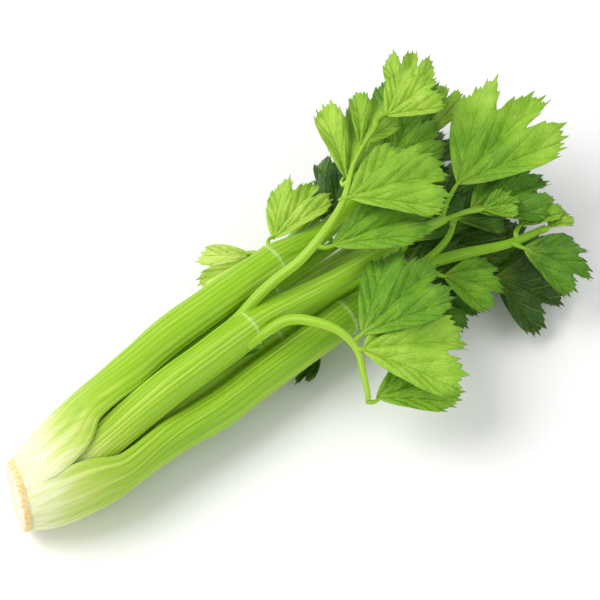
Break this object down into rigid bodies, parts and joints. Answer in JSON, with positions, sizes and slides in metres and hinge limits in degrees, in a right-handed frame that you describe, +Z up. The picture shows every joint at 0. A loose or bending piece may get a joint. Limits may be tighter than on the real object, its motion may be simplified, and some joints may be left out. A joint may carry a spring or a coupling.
{
  "type": "head of celery",
  "caption": "Head of celery lying on its side: ribbed stalks joined at a cut butt, with side branches and toothed leaves.",
  "frame": {"origin": "middle of the flat belly of the lowest outer stalk, on the surface that the head lies on", "axes": "+X along the head from the cut butt to the leaves, +Z up from the surface, +Y to the left seen from the butt"},
  "size_m": [0.4336, 0.2234, 0.101],
  "materials": {
    "cut_crown": "matte",
    "stalk": "satin",
    "heart": "satin",
    "leaf": "satin"
  },
  "bodies": {
    "root": {"crown": "cut_crown", "heart": "heart", "leaf_a1": "leaf", "leaf_b1": "leaf", "leaf_b2": "leaf", "leaf_b3": "leaf", "leaf_b4": "leaf", "leaf_b5": "leaf", "leaf_c1": "leaf", "leaf_c2": "leaf", "leaf_c3": "leaf", "leaf_c4": "leaf", "leaf_d1": "leaf", "leaf_d2": "leaf", "leaf_e1": "leaf", "leaf_e2": "leaf", "leaf_e3": "leaf", "leaf_e4": "leaf", "leaf_e5": "leaf", "leaf_e6": "leaf", "leaf_f1": "leaf", "leaf_f2": "leaf", "leaf_f3": "leaf", "leaf_g1": "leaf", "leaf_g2": "leaf", "leaf_h1": "leaf", "leaf_h2": "leaf", "leaf_h3": "leaf", "leaf_heart1": "leaf", "leaf_heart2": "leaf", "leaf_i1": "leaf", "leaf_i2": "leaf", "leaf_i3": "leaf", "leaf_r1": "leaf", "leaf_r2": "leaf", "leaf_r3": "leaf", "leaf_r4": "leaf", "leaf_r5": "leaf", "leaf_r6": "leaf", "leaf_t1": "leaf", "leaf_t2": "leaf", "leaf_t3": "leaf", "leaf_t4": "leaf", "leaf_t5": "leaf", "stalk_a": "stalk", "stalk_b": "stalk", "stalk_c": "stalk", "stalk_d": "stalk", "stalk_e": "stalk", "stalk_f": "stalk", "stalk_g": "stalk", "stalk_h": "stalk", "stalk_i": "stalk"}
  },
  "joints": []
}
